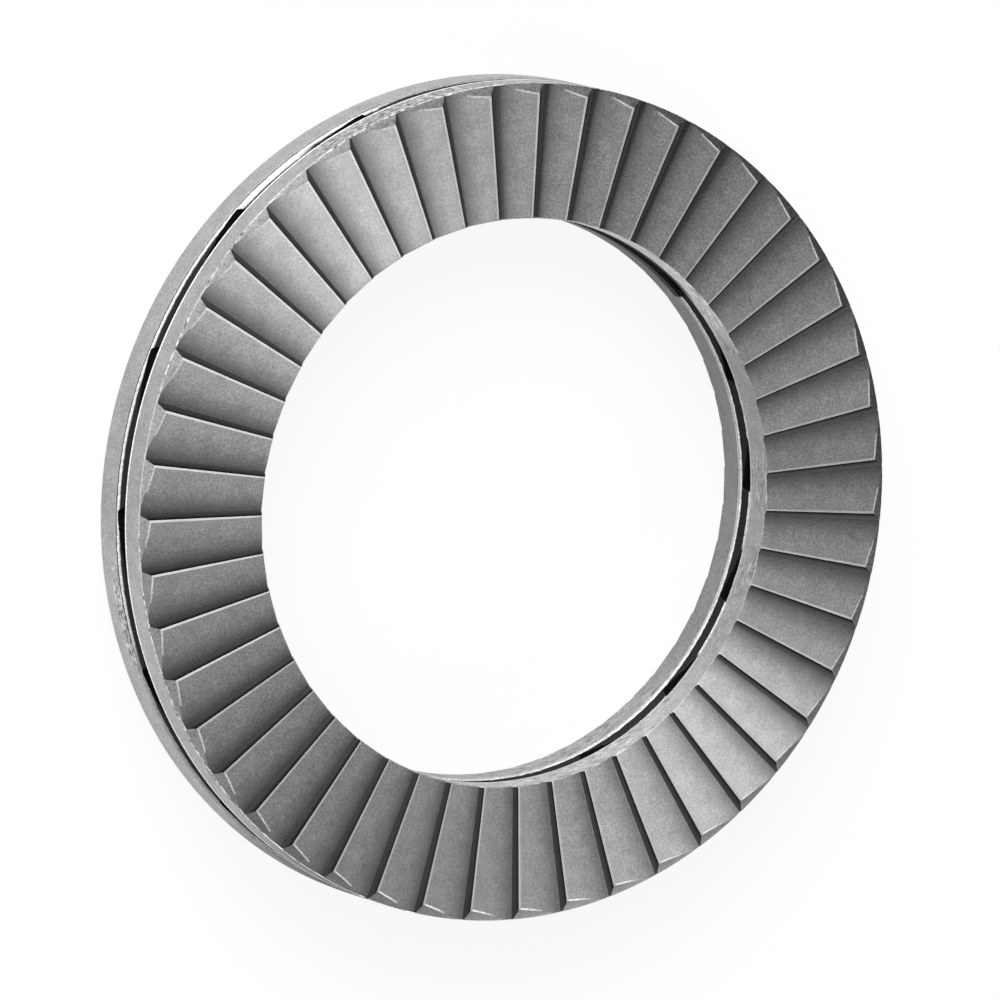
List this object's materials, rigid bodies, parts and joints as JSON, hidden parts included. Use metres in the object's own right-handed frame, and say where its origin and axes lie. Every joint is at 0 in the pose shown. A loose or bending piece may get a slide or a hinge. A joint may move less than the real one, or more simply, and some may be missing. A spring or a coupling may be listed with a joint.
{
  "type": "wedge lock washer pair",
  "caption": "Pair of round wedge lock washers with radial sawtooth serrations outside and interlocking wedge cams inside, for a 22 mm screw.",
  "frame": {"origin": "on the washers' axis, in the plane of the lowest tooth crests, on which the pair lies", "axes": "+Z along the axis towards the upper washer's serrations; +X lies in the plane of the washers"},
  "size_m": [0.0344, 0.0344, 0.0037],
  "materials": {
    "stainless_steel": "satin, tumbled, with brighter crests and edges"
  },
  "bodies": {
    "root": {"lower_washer": "stainless_steel", "upper_washer": "stainless_steel"}
  },
  "joints": []
}
